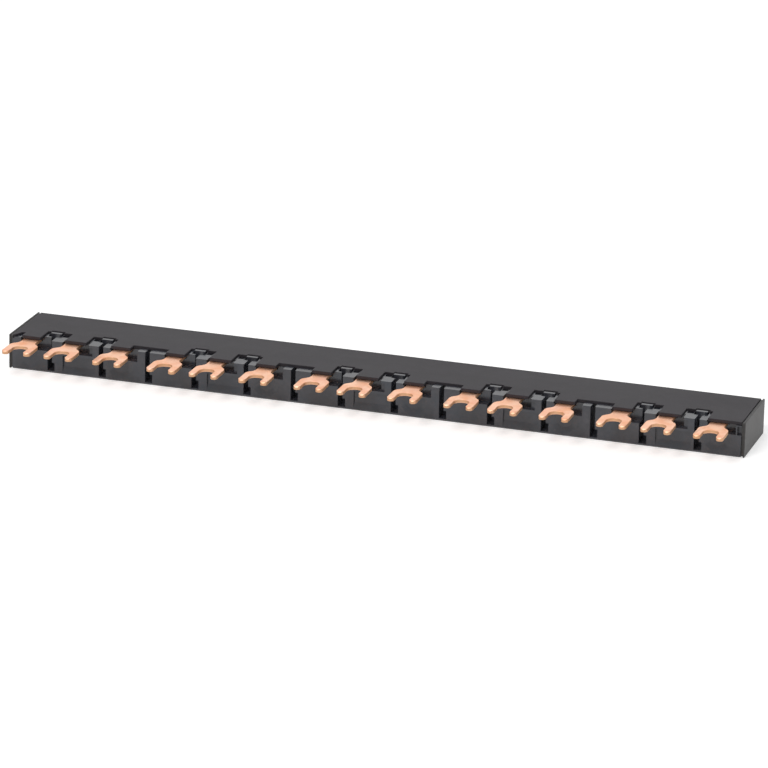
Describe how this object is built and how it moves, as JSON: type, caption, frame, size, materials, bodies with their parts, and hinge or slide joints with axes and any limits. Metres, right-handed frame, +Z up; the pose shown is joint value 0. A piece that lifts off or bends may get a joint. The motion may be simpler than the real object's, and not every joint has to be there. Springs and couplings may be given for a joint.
{
  "type": "comb busbar",
  "caption": "Three-phase comb busbar: a slim black housing whose copper fork tabs join a row of motor-protection switches.",
  "frame": {"origin": "middle of the housing's underside", "axes": "+X along the bar, -Y towards the switches that the forks enter, +Z up through the cover"},
  "size_m": [0.223, 0.0358, 0.0105],
  "materials": {
    "housing_plastic": "black moulded polyamide, satin to glossy in the cells",
    "cover_plastic": "black moulded polyamide with a fine even grain",
    "cap_plastic": "black moulded polyamide, finely grained",
    "copper": "bare rolled copper, bright and satin, with sheared edges",
    "insulating_sheet": "grey extruded insulating plastic, dull"
  },
  "bodies": {
    "root": {"housing": "housing_plastic", "cover": "cover_plastic", "comb_l1": "copper", "comb_l2": "copper", "comb_l3": "copper", "strip_lower": "insulating_sheet", "strip_upper": "insulating_sheet", "end_cap_left": "cap_plastic", "end_cap_right": "cap_plastic"}
  },
  "joints": []
}
